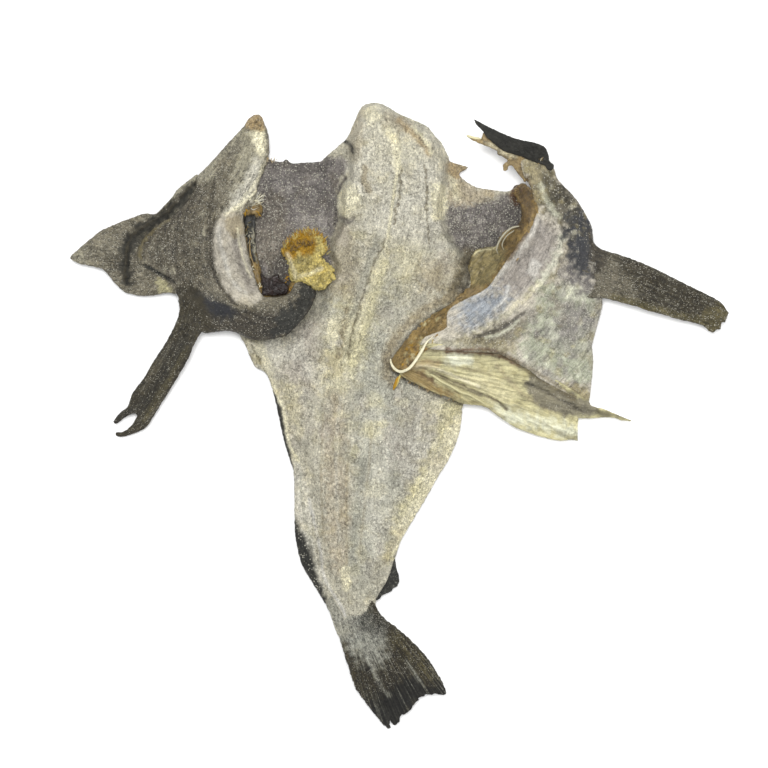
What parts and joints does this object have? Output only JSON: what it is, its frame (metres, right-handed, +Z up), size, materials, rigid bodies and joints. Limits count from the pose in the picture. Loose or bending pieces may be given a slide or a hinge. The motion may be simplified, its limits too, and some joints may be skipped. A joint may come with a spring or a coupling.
{
  "type": "dried salted cod",
  "caption": "Whole split and dried salted cod without its head, opened flat on its skin, with both collars, pectoral fins and tail spread out.",
  "frame": {"origin": "middle of the fish's box seen from above, on the surface that the fish lies on", "axes": "+Z up, out of the opened flesh side; +Y from the tail to the nape; +X to the right, seen from above with the nape away from the viewer"},
  "size_m": [0.5266, 0.4992, 0.0307],
  "materials": {
    "dried_fish": "matt, dry and salt-crusted; cream to grey-beige flesh, dark olive-brown fins"
  },
  "bodies": {
    "root": {"salted_cod": "dried_fish"}
  },
  "joints": []
}
